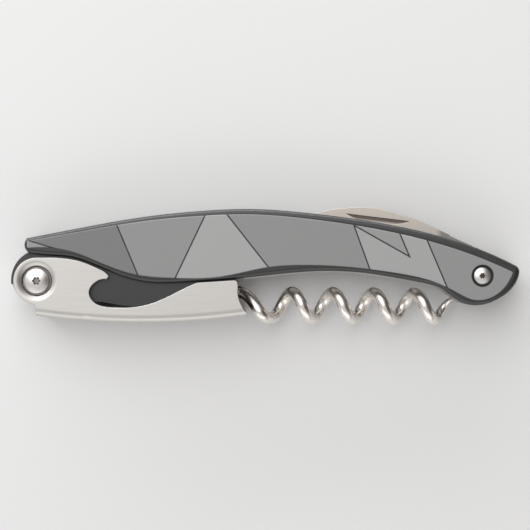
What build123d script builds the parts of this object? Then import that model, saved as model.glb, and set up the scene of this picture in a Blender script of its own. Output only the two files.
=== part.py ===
from build123d import *
import os
from math import cos, pi, radians, sin, sqrt

# Waiter's corkscrew, folded shut and lying on its far side, in millimetres.
# +X runs from the lever's hinge to the knife's hinge, +Y towards the knife's back, and +Z up.
# Outlines are drawn in plan, and a height is a distance from the mid-plane between the two shells.

# Heights from the mid-plane, from the inside out
SLOT = 1.6  # half the gap between the liners, into which the worm's eye and the knife fold
LINER = 2.4
WASHER_SEAT = 3.8
TONGUE = 4.7  # the thin part of the shells, which the lever straddles
LEVER_INSIDE = 5.3
LEVER_OUTSIDE = 6.5
PANEL_SEAT = 6.0
SHELL = 6.6
PANEL = 6.8  # outer face of the printed panels, on which the corkscrew lies

# Hinge axes in plan
LEVER_HINGE = (-53.8, -3.4)
WORM_HINGE = (-11.0, -6.0)
KNIFE_HINGE = (51.5, -2.2)

# Running and assembly clearances
RUNNING = 0.04
LOOSE = 0.05

# Handle
RIM_ROUND = 1.1
PANEL_ROUND = 0.2
KNUCKLE_RADIUS = 4.5
PEG_RADIUS = 1.2
PEG_PLACES = [(-44.0, 6.0), (-24.0, 5.0), (-4.0, 7.5), (31.0, 1.8)]

# Pivots: a screw with a button head in a headed sleeve, once for the lever and once for the knife
LEVER_HEAD_RADIUS = 3.0
LEVER_HEAD_HEIGHT = 1.35
LEVER_SLEEVE_RADIUS = 1.9
LEVER_THREAD_RADIUS = 1.25
LEVER_WASHER_RADIUS = 3.6
KNIFE_HEAD_RADIUS = 2.15
KNIFE_HEAD_HEIGHT = 1.2
KNIFE_SLEEVE_RADIUS = 1.6
KNIFE_THREAD_RADIUS = 1.0
KNIFE_WASHER_RADIUS = 3.2
KNIFE_RECESS_RADIUS = 2.65
KNIFE_HEAD_SEAT = 5.4
HEAD_EDGE = 0.7
HEAD_SHOULDER = 0.3
SOCKET_SHARE = 0.34  # of the head's radius
SOCKET_DEPTH = 0.85

# Lever: one piece of bent sheet, with walls, a bowed spine, a bottle opener and a foot
SHEET = LEVER_OUTSIDE - LEVER_INSIDE
BEND_INSIDE = 0.45
EAR_RADIUS = 5.45
FOOT_CORNER = 0.8
SPINE_RADIUS = 182.0
SPINE_APEX = (-29.2, -13.4)
SPINE_START = -54.1
SPINE_END = -4.2
DIMPLE_RADIUS = 4.8
DIMPLE_FLOOR_RADIUS = 3.4
DIMPLE_BACK_RADIUS = 3.9

# Worm
WIRE_RADIUS = 1.4
COIL_RADIUS = 3.1
PITCH = 9.75
TURNS = 4.46
TAPER_TURNS = 0.6
TAPER_SECTIONS = 8
TIP_RADIUS = 0.12
TIP_INSET = 1.2  # how far the ground point leans in towards the coil's axis
WORM_PIN_RADIUS = 1.3
WORM_TILT = -0.6
COIL_START = 12.775  # from the worm's hinge to the bottom of the first turn, along the worm
ELBOW = (5.4, -0.1, 0.1)  # where the wire leaves the tongue and bends into the coil
ELBOW_FRONT = 8.9

# Knife
BLADE = 0.75  # half its thickness
TANG_RADIUS = 4.3
SERRATION_RADIUS = 0.62
SERRATION_COUNT = 20
RIPPLE_RADIUS = 0.35
RIPPLE_SPANS = [(0.38, 0.52), (0.735, 0.86)]  # shares of the back's length
RIPPLE_COUNT = 11
NICK_LENGTH = 15.4
NICK_WIDTH = 1.7
NICK_DEPTH = 0.3

# Back spring and the pins between the liners
RIVET_RADIUS = 0.9
RIVET_PLACES = [(1.5, -0.4), (15.0, 0.1)]
STOP_PIN_PLACE = (41.6, -0.6)


def slab(face, low, high):
    """A plan outline made solid between two heights."""
    return extrude(Pos(0, 0, low) * face, amount=high - low)


def disc(centre, radius):
    return Pos(*centre) * Circle(radius)


def other_side(part):
    """The same piece on the far side of the mid-plane."""
    return mirror(part, about=Plane.XY)


def both_sides(part):
    return Compound([*part.solids(), *other_side(part).solids()])


def outline(*curves):
    return make_face(Wire([edge for curve in curves for edge in curve.edges()]).edges())


def polar(centre, radius, degrees):
    return (
        centre[0] + radius * cos(radians(degrees)),
        centre[1] + radius * sin(radians(degrees)),
    )


# ---- Outlines of the handle ----


def grip_outline():
    """The arched grip: a long crowned back, a drooping lobe at the knife's hinge, an arched belly."""
    back = Spline(
        (-56.1, 6.7), (-43.2, 9.2), (-28.0, 11.8), (-15.0, 13.15), (-3.0, 13.6),
        (10.0, 12.7), (25.0, 10.75), (40.0, 7.6), (50.5, 4.25), (60.4, -0.3),
    )
    belly = Spline(
        (60.4, -0.3), (59.3, -4.2), (55.3, -7.7), (49.8, -9.2), (46.0, -8.2), (42.2, -5.4),
        (36.0, -3.6), (25.0, -1.7), (13.0, -1.1), (2.2, -1.95), (-8.0, -3.05), (-20.0, -3.8),
        (-26.5, -3.85), (-32.0, -2.85), (-39.4, 0.0), (-46.0, 2.2), (-51.0, 2.6), (-55.6, 3.2),
    )
    end = ThreePointArc((-55.6, 3.2), (-56.7, 4.9), (-56.1, 6.7))
    face = outline(back, belly, end)
    face = fillet(face.vertices().filter_by(lambda v: v.X > 0), 1.6)
    return fillet(face.vertices().filter_by(lambda v: v.X < -50), 0.5)


def panel_outline():
    back = Spline(
        (-56.0, 6.0), (-43.2, 8.3), (-28.0, 10.75), (-15.0, 11.95), (-3.0, 12.3),
        (10.0, 11.3), (25.0, 9.1), (40.0, 5.7), (50.0, 2.4), (58.7, -1.35),
    )
    belly = Spline(
        (58.7, -1.35), (57.0, -4.6), (53.4, -7.4), (49.6, -7.9), (45.8, -6.3), (40.0, -3.55),
        (32.5, -1.75), (22.0, -0.3), (10.0, 0.35), (0.4, -0.25), (-10.0, -2.35), (-22.0, -2.7),
        (-30.0, -1.95), (-38.0, 0.6), (-45.1, 3.45), (-50.0, 4.4), (-56.0, 4.35),
    )
    end = Line((-56.0, 4.35), (-56.0, 6.0))
    face = outline(back, belly, end)
    return fillet(face.vertices(), 0.35)


def tongue_outline():
    """The thin part below the grip: a nose round the lever's hinge and a knuckle at the worm's."""
    step_top = (-59.95, -4.2)
    step_foot = polar(LEVER_HINGE, EAR_RADIUS + 0.35, 188)
    chin_middle = polar(LEVER_HINGE, EAR_RADIUS + 0.15, 212)
    chin_end = polar(LEVER_HINGE, EAR_RADIUS - 0.35, 250)
    nose = ThreePointArc((-56.0, 3.3), (-59.3, -0.1), step_top)
    step = Line(step_top, step_foot)
    chin = ThreePointArc(step_foot, chin_middle, chin_end)
    knuckle_foot = polar(WORM_HINGE, KNUCKLE_RADIUS, 270)
    lower = Spline(
        chin_end, (-47.0, -8.45), (-40.0, -8.25), (-34.0, -9.15), (-24.0, -10.1), knuckle_foot,
        tangents=[(1, -0.2), (1, 0)],
    )
    knuckle = CenterArc(WORM_HINGE, KNUCKLE_RADIUS, 270, 105)
    inside_grip = Polyline(knuckle @ 1, (-6.5, 0.0), (-30.0, 3.0), (-50.0, 5.5), (-56.0, 3.3))
    return outline(nose, step, chin, lower, knuckle, inside_grip)


# ---- Fasteners ----


def dome(radius, height):
    """A button head standing on height 0, with a low crown and a rounded shoulder."""
    rise = height - HEAD_EDGE
    crown_radius = (radius**2 + rise**2) / (2 * rise)
    half_way = (radius / 2, height - crown_radius + sqrt(crown_radius**2 - radius**2 / 4))
    crown = ThreePointArc((radius, HEAD_EDGE), half_way, (0, height))
    sides = Polyline((0, height), (0, 0), (radius, 0), (radius, HEAD_EDGE))
    profile = outline(crown, sides)
    shoulder = profile.vertices().sort_by_distance((radius, HEAD_EDGE, 0))[0]
    return revolve(Plane.XZ * fillet(shoulder, HEAD_SHOULDER), Axis.Z)


def six_lobe_socket(size):
    """A driver socket of six round lobes with narrow waists between them."""
    lobes = Circle(0.78 * size)
    for turn in range(6):
        lobes += disc(polar((0, 0), 0.74 * size, 60 * turn), 0.26 * size)
    return lobes


def button_head(centre, radius, height, seat):
    head = dome(radius, height)
    socket = slab(six_lobe_socket(SOCKET_SHARE * radius), height - SOCKET_DEPTH, height)
    return Pos(*centre, seat) * (head - socket)


def pivot_screw(centre, head_radius, head_height, seat, thread_radius):
    """The near half of a pivot: a button-head screw that ends inside the sleeve."""
    shank = slab(disc(centre, thread_radius - LOOSE), -0.6 * seat, seat)
    return button_head(centre, head_radius, head_height, seat) + shank


def pivot_sleeve(centre, head_radius, head_height, seat, sleeve_radius, thread_radius):
    """The far half of a pivot: a headed sleeve, bored for the screw, that everything turns on."""
    head = other_side(button_head(centre, head_radius, head_height, seat))
    sleeve = slab(disc(centre, sleeve_radius), -seat, seat)
    bore = slab(disc(centre, thread_radius), -0.7 * seat, seat)
    return head + sleeve - bore


def washers(centre, bore_radius, radius, low, high):
    return both_sides(slab(disc(centre, radius) - disc(centre, bore_radius), low, high))


# ---- Handle ----


def shell():
    """The near plastic shell: thick grip with a rounded rim, thin tongue, and pegs for the liner."""
    grip = slab(grip_outline(), LINER, SHELL)
    grip = fillet(grip.faces().sort_by(Axis.Z)[-1].outer_wire().edges(), RIM_ROUND)
    tongue = slab(tongue_outline(), LINER, TONGUE)
    body = grip + tongue
    body -= slab(panel_outline(), PANEL_SEAT, PANEL)
    body -= slab(disc(LEVER_HINGE, DIMPLE_RADIUS + 0.1), WASHER_SEAT, PANEL)
    body -= slab(disc(LEVER_HINGE, LEVER_SLEEVE_RADIUS + LOOSE), LINER, TONGUE)
    body -= slab(disc(KNIFE_HINGE, KNIFE_SLEEVE_RADIUS + LOOSE), LINER, SHELL)
    body -= slab(disc(KNIFE_HINGE, KNIFE_RECESS_RADIUS), KNIFE_HEAD_SEAT, SHELL)
    body -= slab(disc(WORM_HINGE, WORM_PIN_RADIUS), LINER, TONGUE - 0.5)
    for place in PEG_PLACES:
        body += slab(disc(place, PEG_RADIUS), SLOT, LINER)
    return body


def panel():
    """The thin printed cover let into the grip's face."""
    plate = slab(panel_outline(), PANEL_SEAT, PANEL)
    plate = fillet(plate.faces().sort_by(Axis.Z)[-1].edges(), PANEL_ROUND)
    return plate - slab(disc(KNIFE_HINGE, KNIFE_RECESS_RADIUS), PANEL_SEAT, PANEL)


def frame_outline():
    """Grip and tongue together."""
    return grip_outline() + tongue_outline()


def liner():
    holes = [
        (LEVER_HINGE, LEVER_SLEEVE_RADIUS + LOOSE),
        (KNIFE_HINGE, KNIFE_SLEEVE_RADIUS + LOOSE),
        (WORM_HINGE, WORM_PIN_RADIUS),
        (STOP_PIN_PLACE, RIVET_RADIUS),
    ]
    holes += [(place, PEG_RADIUS) for place in PEG_PLACES]
    holes += [(place, RIVET_RADIUS) for place in RIVET_PLACES]
    face = frame_outline()
    for centre, radius in holes:
        face -= disc(centre, radius)
    return slab(face, SLOT, LINER)


def centre_spacer():
    """Fills the gap between the liners from the nose to the knife's slot, clear of the worm's eye."""
    region = make_face(
        Polyline(
            (-62.0, -12.0), (-62.0, 16.0), (6.0, 16.0), (3.0, 2.4), (-5.4, 1.6), (-5.4, -12.0),
            close=True,
        )
    )
    worm_room = disc(WORM_HINGE, KNUCKLE_RADIUS + 0.4)
    worm_room += Pos(-3.0, -8.2) * Rectangle(16.0, 10.0)
    face = (frame_outline() & region) - worm_room
    face -= disc(LEVER_HINGE, LEVER_SLEEVE_RADIUS + LOOSE)
    return slab(face, -SLOT, SLOT)


def back_spring():
    """The leaf along the belly: fixed by two rivets, its free end against the knife's tang."""
    under = Spline((-5.0, -3.0), (2.2, -2.2), (13.0, -1.35), (25.0, -1.95), (36.0, -3.7), (47.2, -5.6))
    over = Spline((47.2, -3.6), (36.0, -1.9), (25.0, 0.4), (13.0, 1.3), (2.2, 1.2), (-5.0, 0.9))
    face = outline(under, Line(under @ 1, over @ 0), over, Line(over @ 1, under @ 0))
    face -= disc(KNIFE_HINGE, TANG_RADIUS + 0.25)
    for place in RIVET_PLACES:
        face -= disc(place, RIVET_RADIUS)
    return slab(face, -SLOT, SLOT)


def spring_rivets():
    pins = [slab(disc(place, RIVET_RADIUS), -LINER, LINER) for place in RIVET_PLACES]
    return Compound([solid for pin in pins for solid in pin.solids()])


# ---- Lever ----


def spine_height(x, inset=0.0):
    """Plan height of the bowed spine's face at x."""
    centre_y = SPINE_APEX[1] + SPINE_RADIUS
    return centre_y - sqrt((SPINE_RADIUS - inset) ** 2 - (x - SPINE_APEX[0]) ** 2)


def lever_outline():
    """A wall of the lever: ear, opener beak, deep throat, slope up to the foot, concave foot."""
    ear = CenterArc(LEVER_HINGE, EAR_RADIUS, 90, 168)
    heel = Polyline(ear @ 1, (SPINE_START, -9.05), (SPINE_START, spine_height(SPINE_START)))
    spine = ThreePointArc(
        heel @ 1, (SPINE_APEX[0], spine_height(SPINE_APEX[0])), (SPINE_END, spine_height(SPINE_END))
    )
    lip = Line(spine @ 1, (SPINE_END, -10.9))
    foot = ThreePointArc(lip @ 1, (-5.75, -8.5), (-6.25, -5.0))
    corner = (-6.3, -3.25)
    throat_top = (-15.9, -3.85)
    beak_under = (-37.3, -2.95)
    beak_tip = (-36.75, -2.35)
    shoulder = Polyline(foot @ 1, corner, throat_top)
    throat = Spline(
        throat_top, (-20.5, -6.0), (-25.9, -8.5), (-31.0, -9.65), (-36.1, -9.7),
        (-40.1, -8.55), (-41.4, -6.0), (-40.3, -4.0), beak_under,
    )
    beak = Line(beak_under, beak_tip)
    crest = Spline(
        beak_tip, (-39.4, -0.45), (-43.2, 1.1), (-47.0, 1.85), (-50.6, 2.08), ear @ 0,
        tangents=[(-0.55, 1), (-1, 0)],
    )
    face = outline(ear, heel, spine, lip, foot, shoulder, throat, beak, crest)
    return fillet(face.vertices().sort_by_distance((*corner, 0))[0], FOOT_CORNER)


def dimple_cut():
    """Room sunk into a wall for the screw's head: a soft dish, then a steep seat."""
    dish = Spline(
        (DIMPLE_RADIUS, LEVER_OUTSIDE), (4.2, 6.32), (DIMPLE_FLOOR_RADIUS + 0.1, 5.8),
        tangents=[(-1, 0), (-0.5, -1)],
    )
    seat = Polyline(
        dish @ 1, (DIMPLE_FLOOR_RADIUS, LEVER_INSIDE), (0, LEVER_INSIDE), (0, PANEL),
        (DIMPLE_RADIUS, PANEL), dish @ 0,
    )
    return Pos(*LEVER_HINGE) * revolve(Plane.XZ * outline(dish, seat), Axis.Z)


def dimple_back():
    """The back of the dimple, pushed inwards by the sheet's own thickness."""
    low = LEVER_INSIDE - SHEET
    section = Polyline(
        (0, low), (DIMPLE_BACK_RADIUS, low), (4.6, LEVER_INSIDE), (0, LEVER_INSIDE), close=True
    )
    return Pos(*LEVER_HINGE) * revolve(Plane.XZ * make_face(section), Axis.Z)


def lever():
    block = slab(lever_outline(), -LEVER_OUTSIDE, LEVER_OUTSIDE)
    bends = block.edges().filter_by(lambda e: e.length > 45)
    block = fillet(bends, BEND_INSIDE + SHEET)
    channel = Pos(SPINE_APEX[0], SPINE_APEX[1] + SPINE_RADIUS) * Circle(SPINE_RADIUS - SHEET)
    channel &= Pos(-30.0, 0.0) * Rectangle(80.0, 50.0)
    hollow = slab(channel, -LEVER_INSIDE, LEVER_INSIDE)
    hollow = fillet(hollow.edges().filter_by(lambda e: (e @ 0.5).Y < -10 and e.length > 45), BEND_INSIDE)
    sheet = block - hollow
    sheet += both_sides(dimple_back())
    sheet -= both_sides(dimple_cut())
    return sheet - slab(disc(LEVER_HINGE, LEVER_SLEEVE_RADIUS + RUNNING), -LEVER_OUTSIDE, LEVER_OUTSIDE)


# ---- Worm ----


def worm():
    """A wire eye on the worm's pin, an elbow, and a right-handed helix with a ground point."""
    along = Pos(*WORM_HINGE) * Rot(Z=WORM_TILT)
    ring_radius = WORM_PIN_RADIUS + LOOSE + WIRE_RADIUS
    eye = Torus(ring_radius, WIRE_RADIUS)
    start = Plane((COIL_START, -COIL_RADIUS, 0), x_dir=(0, -1, 0), z_dir=(1, 0, 0))
    full_turns = TURNS - TAPER_TURNS
    helix = start.location * Helix(PITCH, full_turns * PITCH, COIL_RADIUS)
    elbow = Spline(
        (ring_radius, 0, 0), ELBOW, (ELBOW_FRONT, -COIL_RADIUS, 0.9 * COIL_RADIUS), helix @ 0,
        tangents=[(1, 0, 0), helix % 0],
    )
    path = Wire([elbow.edges()[0], helix.edges()[0]])
    wire = sweep(Plane(path @ 0, z_dir=path % 0) * Circle(WIRE_RADIUS), path=path)
    sections = []
    for step in range(TAPER_SECTIONS + 1):
        share = step / TAPER_SECTIONS
        turn = 2 * pi * (full_turns + share * TAPER_TURNS)
        coil_radius = COIL_RADIUS - TIP_INSET * share**2
        centre = (
            COIL_START + PITCH * turn / (2 * pi),
            -coil_radius * cos(turn) - COIL_RADIUS,
            -coil_radius * sin(turn),
        )
        heading = (PITCH / (2 * pi), COIL_RADIUS * sin(turn), -COIL_RADIUS * cos(turn))
        outward = (0, -cos(turn), -sin(turn))
        radius = TIP_RADIUS + (WIRE_RADIUS - TIP_RADIUS) * cos(0.5 * pi * share) ** 0.8
        sections.append(Plane(centre, x_dir=outward, z_dir=heading) * Circle(radius))
    point = loft(sections)
    return along * (eye + wire + point)


def worm_pin():
    return slab(disc(WORM_HINGE, WORM_PIN_RADIUS), -(TONGUE - 0.5), TONGUE - 0.5)


# ---- Knife ----


def knife_back():
    return Spline(
        (9.0, 10.3), (12.4, 12.6), (17.0, 13.7), (23.1, 14.1), (29.0, 13.5), (36.0, 11.25),
        (42.0, 8.6), (47.5, 6.1), (51.2, 4.3), (55.4, -0.4),
    )


def knife_edge():
    return Spline((9.0, 10.3), (14.0, 8.4), (22.0, 7.5), (30.0, 6.2), (37.0, 3.6), (43.0, 0.6))


def nail_nick():
    """A groove for the thumbnail, deepest along its upper side."""
    sag_radius = ((NICK_LENGTH / 2) ** 2 + NICK_WIDTH**2) / (2 * NICK_WIDTH)
    segment = Circle(sag_radius) & Pos(0, -sag_radius - 50 + NICK_WIDTH) * Rectangle(100, 100)
    segment = Pos(0, sag_radius - NICK_WIDTH) * segment
    groove = extrude(segment, amount=2.0)
    floor = Plane((0, -NICK_WIDTH, 0), x_dir=(1, 0, 0), z_dir=(0, NICK_DEPTH / NICK_WIDTH, 1))
    groove = split(groove, floor, keep=Keep.TOP)
    deep = split(extrude(segment, amount=-2.0), floor, keep=Keep.TOP)
    return Pos(27.1, 11.75, BLADE) * Rot(Z=-7.0) * (groove + deep)


def knife_blade():
    back = knife_back()
    edge = knife_edge()
    tang = disc(KNIFE_HINGE, TANG_RADIUS)
    face = outline(back, Polyline(back @ 1, (51.5, -6.4), (46.0, -2.0), edge @ 1), edge) + tang
    blade = slab(face, -BLADE, BLADE)
    cuts = []
    for count in range(SERRATION_COUNT):
        place = edge @ (0.1 + 0.8 * count / (SERRATION_COUNT - 1))
        cuts.append(slab(disc((place.X, place.Y - 0.25), SERRATION_RADIUS), -BLADE, BLADE))
    for low, high in RIPPLE_SPANS:
        for step in range(RIPPLE_COUNT):
            place = back @ (low + (high - low) * step / (RIPPLE_COUNT - 1))
            cuts.append(slab(disc((place.X, place.Y + 0.1), RIPPLE_RADIUS), -BLADE, BLADE))
    blade -= cuts
    blade -= nail_nick()
    return blade - slab(disc(KNIFE_HINGE, KNIFE_SLEEVE_RADIUS + RUNNING), -BLADE, BLADE)


# ---- Assembly ----

near_shell = shell()
near_panel = panel()
near_liner = liner()
lever_seat = LEVER_INSIDE + LOOSE
pieces = {
    "near_shell": near_shell,
    "far_shell": other_side(near_shell),
    "near_panel": near_panel,
    "far_panel": other_side(near_panel),
    "near_liner": near_liner,
    "far_liner": other_side(near_liner),
    "centre_spacer": centre_spacer(),
    "back_spring": back_spring(),
    "spring_rivets": spring_rivets(),
    "knife_stop_pin": slab(disc(STOP_PIN_PLACE, RIVET_RADIUS), -LINER, LINER),
    "lever_pivot_screw": pivot_screw(
        LEVER_HINGE, LEVER_HEAD_RADIUS, LEVER_HEAD_HEIGHT, lever_seat, LEVER_THREAD_RADIUS
    ),
    "lever_pivot_sleeve": pivot_sleeve(
        LEVER_HINGE, LEVER_HEAD_RADIUS, LEVER_HEAD_HEIGHT, lever_seat,
        LEVER_SLEEVE_RADIUS, LEVER_THREAD_RADIUS,
    ),
    "lever_washers": washers(
        LEVER_HINGE, LEVER_SLEEVE_RADIUS + LOOSE, LEVER_WASHER_RADIUS,
        WASHER_SEAT, LEVER_INSIDE - SHEET - LOOSE,
    ),
    "knife_pivot_screw": pivot_screw(
        KNIFE_HINGE, KNIFE_HEAD_RADIUS, KNIFE_HEAD_HEIGHT, KNIFE_HEAD_SEAT, KNIFE_THREAD_RADIUS
    ),
    "knife_pivot_sleeve": pivot_sleeve(
        KNIFE_HINGE, KNIFE_HEAD_RADIUS, KNIFE_HEAD_HEIGHT, KNIFE_HEAD_SEAT,
        KNIFE_SLEEVE_RADIUS, KNIFE_THREAD_RADIUS,
    ),
    "knife_washers": washers(
        KNIFE_HINGE, KNIFE_SLEEVE_RADIUS + LOOSE, KNIFE_WASHER_RADIUS, BLADE + LOOSE, SLOT
    ),
    "worm_pin": worm_pin(),
    "lever": lever(),
    "worm": worm(),
    "knife_blade": knife_blade(),
}

# The origin is under the middle of the whole object's footprint, on the face that it lies on.
box = Compound(list(pieces.values())).bounding_box()
middle = box.center()
to_origin = Pos(-middle.X, -middle.Y, PANEL)

os.makedirs("parts", exist_ok=True)
for name, piece in pieces.items():
    export_step(to_origin * piece, f"parts/{name}.step")
for name, hinge in (("lever", LEVER_HINGE), ("worm", WORM_HINGE), ("knife", KNIFE_HINGE)):
    print(name, "hinge at", round(hinge[0] - middle.X, 4), round(hinge[1] - middle.Y, 4))
print("size", box.size)
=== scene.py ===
import math

import bpy
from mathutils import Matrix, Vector


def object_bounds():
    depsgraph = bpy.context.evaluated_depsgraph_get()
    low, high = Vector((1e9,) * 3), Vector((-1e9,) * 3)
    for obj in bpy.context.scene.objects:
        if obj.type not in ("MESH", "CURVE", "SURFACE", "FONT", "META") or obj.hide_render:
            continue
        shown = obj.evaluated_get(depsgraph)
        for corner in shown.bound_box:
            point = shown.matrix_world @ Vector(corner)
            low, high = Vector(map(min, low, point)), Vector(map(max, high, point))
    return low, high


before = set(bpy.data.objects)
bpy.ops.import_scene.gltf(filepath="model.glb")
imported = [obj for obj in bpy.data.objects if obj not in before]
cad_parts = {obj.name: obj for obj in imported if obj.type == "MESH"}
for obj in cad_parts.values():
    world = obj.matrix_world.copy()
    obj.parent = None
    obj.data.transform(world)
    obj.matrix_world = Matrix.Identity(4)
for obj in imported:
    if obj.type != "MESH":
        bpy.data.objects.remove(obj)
cad_low, cad_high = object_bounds()

MM = 0.001
MIDDLE_Z = 0.5 * (cad_low.z + cad_high.z)

# The room's light, as (cosine of the angle to an axis, linear colour) stops.
# The sky's axis points straight up. The card darkens the sky around its own direction.
SKY_AXIS = (0.0, 0.0, 1.0)
SKY_STOPS = [(0.0, (0.48, 0.46, 0.44, 1.0)), (0.9, (0.6, 0.6, 0.6, 1.0))]
CARD_AXIS = (0.8, 0.15, 0.6)
CARD_STOPS = [(0.72, (1.0, 1.0, 1.0, 1.0)), (0.93, (0.2, 0.17, 0.15, 1.0))]

# A Mix node's sockets for the share and for colours, by number because their names repeat
MIX_SHARE = 0
MIX_A = 6
MIX_B = 7
MIX_RESULT = 2

# Rays for each look-up of a softened edge and of a recess
EDGE_SAMPLES = 6
RECESS_SAMPLES = 8

# Steps in the lever's and the blade's look, in millimetres
BOW_CENTRE = (-29.37, 168.57)  # of the arc that the lever's spine follows
BOW_RADIUS = 182.0
BEND_WIDTH = 1.75  # from the spine's outside to the painted dark line at its bend
BEND_SHADE_REACH = (0.05, 0.3)  # from the painted dark line's core out to its edge
BLADE_HALF = 0.75  # half the blade's thickness
GROOVE_LEVELS = (BLADE_HALF - 0.18, BLADE_HALF - 0.005)  # painted shade in the thumb groove, from deep in it up to its rim
ROOT_SPAN = (40.9, 42.3)  # where the blade turns darker towards its hinge


# ---- Node materials ----


class Shader:
    """A Principled material and short calls for the nodes that feed it."""

    def __init__(self, name, **uniform):
        self.material = bpy.data.materials.new(name)
        self.material.use_nodes = True
        self.tree = self.material.node_tree
        self.bsdf = self.tree.nodes["Principled BSDF"]
        for socket, value in uniform.items():
            self.bsdf.inputs[socket.replace("_", " ")].default_value = value
        self.place = self.node("ShaderNodeTexCoord").outputs["Object"]

    def node(self, kind, inputs=(), **settings):
        """A new node, each input being another node's output or a plain value."""
        made = self.tree.nodes.new(kind)
        for name, value in settings.items():
            setattr(made, name, value)
        for socket, value in dict(inputs).items():
            if isinstance(value, bpy.types.NodeSocket):
                self.tree.links.new(value, made.inputs[socket])
            else:
                made.inputs[socket].default_value = value
        return made

    def feed(self, socket, output):
        self.tree.links.new(output, self.bsdf.inputs[socket])

    def noise(self, features, detail=2.0, rough=0.5):
        """Noise from 0 to 1, with so many features to the millimetre along each axis."""
        mapping = self.node(
            "ShaderNodeMapping",
            {"Vector": self.place, "Scale": [count / MM for count in features]},
        )
        made = self.node(
            "ShaderNodeTexNoise",
            {
                "Vector": mapping.outputs["Vector"],
                "Scale": 1.0,
                "Detail": detail,
                "Roughness": rough,
            },
        )
        return made.outputs["Fac"]

    def math(self, operation, a, b=0.0):
        return self.node("ShaderNodeMath", {0: a, 1: b}, operation=operation).outputs["Value"]

    def vector_math(self, operation, a, b=(0.0, 0.0, 0.0)):
        return self.node("ShaderNodeVectorMath", {0: a, 1: b}, operation=operation).outputs

    def millimetres(self, length):
        return self.math("DIVIDE", length, MM)

    def between(self, value, low, high, source=(0.0, 1.0)):
        """A value carried over from the source range to low and high, and held at both ends."""
        made = self.node(
            "ShaderNodeMapRange",
            {
                "Value": value,
                "From Min": source[0],
                "From Max": source[1],
                "To Min": low,
                "To Max": high,
            },
        )
        return made.outputs["Result"]

    def mix(self, share, a, b):
        made = self.node("ShaderNodeMix", {MIX_SHARE: share, MIX_A: a, MIX_B: b}, data_type="RGBA")
        return made.outputs[MIX_RESULT]

    def bump(self, height, depth_mm, strength, edge_mm=None):
        """Fine relief, over edges softened to a radius where one is given."""
        inputs = {"Height": height, "Strength": strength, "Distance": depth_mm * MM}
        if edge_mm:
            soft = self.node("ShaderNodeBevel", {"Radius": edge_mm * MM}, samples=EDGE_SAMPLES)
            inputs["Normal"] = soft.outputs["Normal"]
        made = self.node("ShaderNodeBump", inputs)
        self.feed("Normal", made.outputs["Normal"])

    def openness(self, reach_mm):
        """Near 1 on open surfaces, falling towards 0 deep in recesses."""
        made = self.node(
            "ShaderNodeAmbientOcclusion", {"Distance": reach_mm * MM}, samples=RECESS_SAMPLES
        )
        return made.outputs["AO"]


def linear(value):
    """A linear share of light from an sRGB value of 0 to 255."""
    share = value / 255
    return share / 12.92 if share <= 0.04045 else ((share + 0.055) / 1.055) ** 2.4


def rgba(red, green, blue):
    """A linear colour from sRGB values of 0 to 255."""
    return (linear(red), linear(green), linear(blue), 1.0)


def grey(value):
    return rgba(value, value, value)


def scaled(color, factor):
    return (*(min(1.0, factor * share) for share in color[:3]), 1.0)


def moulded_plastic():
    """Charcoal plastic with a fine grain and a faint cloud of tone."""
    shader = Shader("charcoal_plastic", Specular_IOR_Level=0.8)
    grain = shader.noise((6.0, 6.0, 6.0), detail=3.0)
    cloud = shader.noise((0.12, 0.12, 0.12))
    shader.feed("Base Color", shader.mix(cloud, grey(22), grey(30)))
    shader.feed("Roughness", shader.between(grain, 0.3, 0.42))
    shader.bump(grain, depth_mm=0.012, strength=0.5)
    return shader.material


def brushed(name, color, features, roughness, streak, edge_mm):
    """A steel shader and its tone: fine scratches, and wider bands that run the same way."""
    shader = Shader(name, Metallic=1.0)
    scratches = shader.noise(features, detail=4.0, rough=0.65)
    bands = shader.noise([0.35 * count for count in features])
    light = scaled(color, 1.0 + streak)
    dark = scaled(color, 1.0 - streak)
    tone = shader.mix(shader.between(bands, 0.0, 1.0, source=(0.3, 0.7)), dark, light)
    shader.feed("Roughness", shader.between(scratches, roughness - 0.08, roughness + 0.1))
    shader.bump(scratches, depth_mm=0.004, strength=0.5, edge_mm=edge_mm)
    return shader, tone


def lever_steel():
    """Brushed along the lever, with a painted dark line where the wall turns into the spine and
    painted shade in its recesses.
    """
    color = rgba(206, 203, 199)
    shader, tone = brushed(
        "lever_steel", color, features=(0.25, 9.0, 9.0), roughness=0.42, streak=0.03, edge_mm=0.25
    )
    bow_centre = (BOW_CENTRE[0] * MM, BOW_CENTRE[1] * MM, 0.0)
    from_bow = shader.vector_math("SUBTRACT", shader.place, bow_centre)["Vector"]
    in_plan = shader.vector_math("MULTIPLY", from_bow, (1.0, 1.0, 0.0))["Vector"]
    out = shader.millimetres(shader.vector_math("LENGTH", in_plan)["Value"])
    from_bend = shader.math("ABSOLUTE", shader.math("SUBTRACT", BOW_RADIUS - BEND_WIDTH, out))
    # Painted shade: a thin dark line along the bend where the wall turns into the spine
    bend_shade = shader.between(from_bend, 0.22, 0.0, source=BEND_SHADE_REACH)
    bend_shaded = shader.mix(bend_shade, tone, rgba(120, 114, 106))
    # Painted shade: brown-grey where the surface is hemmed in, as in the dimple round the pivot
    # screw
    recess_shade = shader.between(shader.openness(reach_mm=0.7), 0.85, 0.0, source=(0.35, 0.7))
    shader.feed("Base Color", shader.mix(recess_shade, bend_shaded, rgba(64, 58, 54)))
    return shader.material


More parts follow.
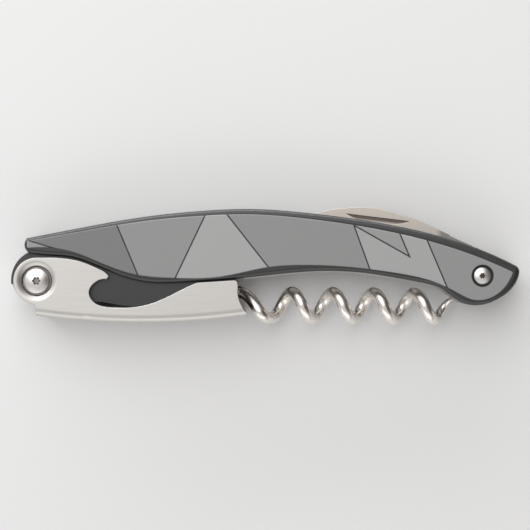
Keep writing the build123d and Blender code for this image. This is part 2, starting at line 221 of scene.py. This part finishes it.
def blade_steel():
    """Ground across the blade, with painted shade in the thumb groove and darker towards its
    hinge.
    """
    color = rgba(208, 200, 191)
    shader, tone = brushed(
        "blade_steel", color, features=(5.0, 0.4, 5.0), roughness=0.3, streak=0.025, edge_mm=0.08
    )
    place = shader.node("ShaderNodeSeparateXYZ", {0: shader.place}).outputs
    root = shader.between(shader.millimetres(place["X"]), 0.0, 1.0, source=ROOT_SPAN)
    rooted = shader.mix(root, tone, rgba(150, 146, 139))
    height = shader.millimetres(place["Z"])
    from_middle = shader.math("ABSOLUTE", shader.math("SUBTRACT", height, MIDDLE_Z / MM))
    # Painted shade: the thumb groove darkened with its depth below the blade's faces
    depth = shader.between(from_middle, 0.9, 0.0, source=GROOVE_LEVELS)
    groove_shade = shader.math("POWER", depth, 0.9)
    shader.feed("Base Color", shader.mix(groove_shade, rooted, rgba(50, 41, 34)))
    return shader.material


def inner_steel():
    """Plain rolled steel for the plates and the leaf between the shells."""
    color = rgba(205, 203, 200)
    shader, tone = brushed(
        "inner_steel", color, features=(0.5, 6.0, 6.0), roughness=0.4, streak=0.05, edge_mm=0.1
    )
    shader.feed("Base Color", tone)
    return shader.material


def polished_metal(name, color, roughness, shade_reach_mm, shade_share):
    """Bright metal, a little uneven, with painted shade darkening its recesses."""
    shader = Shader(name, Metallic=1.0)
    smudge = shader.noise((0.5, 0.5, 0.5), detail=4.0)
    shader.feed("Roughness", shader.between(smudge, 0.6 * roughness, 1.5 * roughness))
    # Painted shade: sockets, gaps and other recesses darkened with a brown-grey
    recess_shade = shader.between(shader.openness(shade_reach_mm), shade_share, 0.0, source=(0.5, 0.9))
    shader.feed("Base Color", shader.mix(recess_shade, color, rgba(74, 62, 54)))
    ripple = shader.noise((2.2, 2.2, 2.2))
    shader.bump(ripple, depth_mm=0.006, strength=0.35, edge_mm=0.08)
    return shader.material


# Printed facets. Borders run from an upper to a lower plan point, in millimetres, and are listed
# from left to right. Each facet has an sRGB grey, and the first lies left of every border.
BORDERS = [
    ((-34.9, 9.6), (-29.8, -2.5)),
    ((-14.2, 11.9), (-21.3, -3.0)),
    ((-8.7, 11.9), (0.8, -0.2)),
    ((21.0, 9.6), (24.8, -0.9)),
    ((38.4, 5.8), (42.9, -4.8)),
]
FACET_GREYS = [120, 142, 163, 139, 161, 141]

# The facet at the left tip, which lies below its own border and left of its end
TIP_BORDER = ((-54.6, 5.75), (-50.2, 4.4))
TIP_END = ((-46.0, 10.0), (-46.0, 0.0))
TIP_GREY = 148

# The wedge that hangs in the facet right of the fourth border
WEDGE_HOME = 3
WEDGE_LOWER = ((21.5, 9.4), (34.1, 2.3))
WEDGE_RIGHT = ((31.9, 7.5), (34.1, 2.3))
WEDGE_GREY = 148

LINE_GREY = 42
LINE_HALF_WIDTH = 0.17


def printed_panel():
    """Plain facets of grey parted by thin dark lines."""
    shader = Shader("printed_panel")

    def side_of(border):
        """Millimetres from a border, above 0 on the left hand of a walk from its first point."""
        (x0, y0), (x1, y1) = border
        length = math.hypot(x1 - x0, y1 - y0)
        across = ((y0 - y1) / length, (x1 - x0) / length)
        axis = (across[0] / MM, across[1] / MM, 0.0)
        reach = shader.vector_math("DOT_PRODUCT", shader.place, axis)["Value"]
        return shader.math("SUBTRACT", reach, across[0] * x0 + across[1] * y0)

    def line(distance):
        return shader.math("LESS_THAN", shader.math("ABSOLUTE", distance), LINE_HALF_WIDTH)

    def both(a, b):
        return shader.math("MULTIPLY", a, b)

    color = grey(FACET_GREYS[0])
    lines = 0.0
    rights = []
    for border, value in zip(BORDERS, FACET_GREYS[1:]):
        distance = side_of(border)
        right = shader.math("GREATER_THAN", distance, 0.0)
        rights.append(right)
        color = shader.mix(right, color, grey(value))
        lines = shader.math("MAXIMUM", lines, line(distance))

    tip = side_of(TIP_BORDER)
    below_tip = shader.math("LESS_THAN", tip, 0.0)
    near_tip = shader.math("LESS_THAN", side_of(TIP_END), 0.0)
    color = shader.mix(both(below_tip, near_tip), color, grey(TIP_GREY))
    lines = shader.math("MAXIMUM", lines, both(line(tip), near_tip))

    lower = side_of(WEDGE_LOWER)
    right = side_of(WEDGE_RIGHT)
    above = shader.math("GREATER_THAN", lower, -LINE_HALF_WIDTH)
    left = shader.math("LESS_THAN", right, LINE_HALF_WIDTH)
    wedge = both(both(above, left), rights[WEDGE_HOME])
    color = shader.mix(wedge, color, grey(WEDGE_GREY))
    edges = shader.math("MAXIMUM", line(lower), line(right))
    lines = shader.math("MAXIMUM", lines, both(wedge, edges))

    grain = shader.noise((5.0, 5.0, 5.0))
    shader.feed("Base Color", shader.mix(lines, color, grey(LINE_GREY)))
    shader.feed("Roughness", shader.between(grain, 0.36, 0.46))
    shader.bump(grain, depth_mm=0.006, strength=0.4)
    return shader.material


def dress(material, *nodes):
    """Gives CAD nodes a material in place of their own."""
    for name in nodes:
        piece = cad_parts[name]
        piece.data.materials.clear()
        piece.data.materials.append(material)


def dress_all():
    dress(moulded_plastic(), "near_shell", "far_shell", "centre_spacer")
    dress(printed_panel(), "near_panel", "far_panel")
    dress(lever_steel(), "lever")
    dress(blade_steel(), "knife_blade")
    dress(inner_steel(), "near_liner", "far_liner", "back_spring")
    chrome = polished_metal(
        "worm_chrome", rgba(240, 234, 228), roughness=0.26, shade_reach_mm=3.0, shade_share=0.1
    )
    dress(chrome, "worm")
    fastener_steel = polished_metal(
        "fastener_steel", rgba(232, 229, 226), roughness=0.3, shade_reach_mm=1.2, shade_share=0.95
    )
    dress(
        fastener_steel,
        "lever_pivot_screw",
        "lever_pivot_sleeve",
        "knife_pivot_screw",
        "knife_pivot_sleeve",
        "worm_pin",
        "spring_rivets",
        "knife_stop_pin",
    )
    brass = polished_metal(
        "washer_brass", rgba(220, 192, 130), roughness=0.3, shade_reach_mm=0.9, shade_share=0.5
    )
    dress(brass, "lever_washers", "knife_washers")


# ---- Floor, lights and camera ----


def floor():
    """A wide pale floor at the level of the object's underside."""
    side = 3.0
    bpy.ops.mesh.primitive_plane_add(size=side, location=(0, 0, cad_low.z))
    plane = bpy.context.object
    plane.name = "floor"
    shader = Shader("pale_floor", Roughness=0.55)
    cloud = shader.noise((0.004, 0.004, 0.004), detail=3.0)
    shader.feed("Base Color", shader.mix(cloud, grey(230), grey(236)))
    plane.data.materials.append(shader.material)


def softbox(name, place, size, radiance):
    """A white rectangular light facing the object, its place and size in metres."""
    light = bpy.data.lights.new(name, "AREA")
    light.shape = "RECTANGLE"
    light.size, light.size_y = size
    light.energy = radiance * math.pi * size[0] * size[1]
    lamp = bpy.data.objects.new(name, light)
    lamp.location = place
    lamp.rotation_euler = (-Vector(place)).to_track_quat("-Z", "Y").to_euler()
    bpy.context.scene.collection.objects.link(lamp)


def surroundings():
    """A pale room, dimmer and warmer towards the horizon, with a dark card on the right."""
    world = bpy.data.worlds.new("room")
    world.use_nodes = True
    tree = world.node_tree
    place = tree.nodes.new("ShaderNodeTexCoord").outputs["Generated"]

    def shade(axis, stops):
        """A colour that changes with the angle to an axis."""
        facing = tree.nodes.new("ShaderNodeVectorMath")
        facing.operation = "DOT_PRODUCT"
        facing.inputs[1].default_value = Vector(axis).normalized()
        tree.links.new(place, facing.inputs[0])
        ramp = tree.nodes.new("ShaderNodeValToRGB")
        ramp.color_ramp.interpolation = "EASE"
        for element, (position, color) in zip(ramp.color_ramp.elements, stops):
            element.position = position
            element.color = color
        tree.links.new(facing.outputs["Value"], ramp.inputs["Fac"])
        return ramp.outputs["Color"]

    blend = tree.nodes.new("ShaderNodeMix")
    blend.data_type = "RGBA"
    blend.blend_type = "MULTIPLY"
    blend.inputs[MIX_SHARE].default_value = 1.0
    tree.links.new(shade(SKY_AXIS, SKY_STOPS), blend.inputs[MIX_A])
    tree.links.new(shade(CARD_AXIS, CARD_STOPS), blend.inputs[MIX_B])
    background = tree.nodes["Background"]
    tree.links.new(blend.outputs[MIX_RESULT], background.inputs["Color"])
    background.inputs["Strength"].default_value = 1.0
    bpy.context.scene.world = world


def studio():
    surroundings()
    softbox("key", place=(-0.24, 0.42, 0.72), size=(0.9, 0.9), radiance=1.42)
    softbox("fill", place=(-0.15, -0.95, 0.5), size=(1.8, 0.8), radiance=0.85)
    softbox("back", place=(-0.45, 1.0, 0.17), size=(2.0, 0.29), radiance=8.0)
    bpy.context.scene.view_settings.view_transform = "Standard"


def camera():
    """Straight above the middle of the object, looking down, with +Y up in the picture."""
    distance = 0.45
    seen_width = 0.1269  # at the object's middle height
    upward_shift = 0.32 * MM
    data = bpy.data.cameras.new("camera")
    data.sensor_width = 36.0
    data.lens = data.sensor_width * distance / seen_width
    data.clip_start = 0.01
    made = bpy.data.objects.new("camera", data)
    made.location = (0.0, upward_shift, MIDDLE_Z + distance)
    bpy.context.scene.collection.objects.link(made)
    bpy.context.scene.camera = made


dress_all()
floor()
studio()
camera()
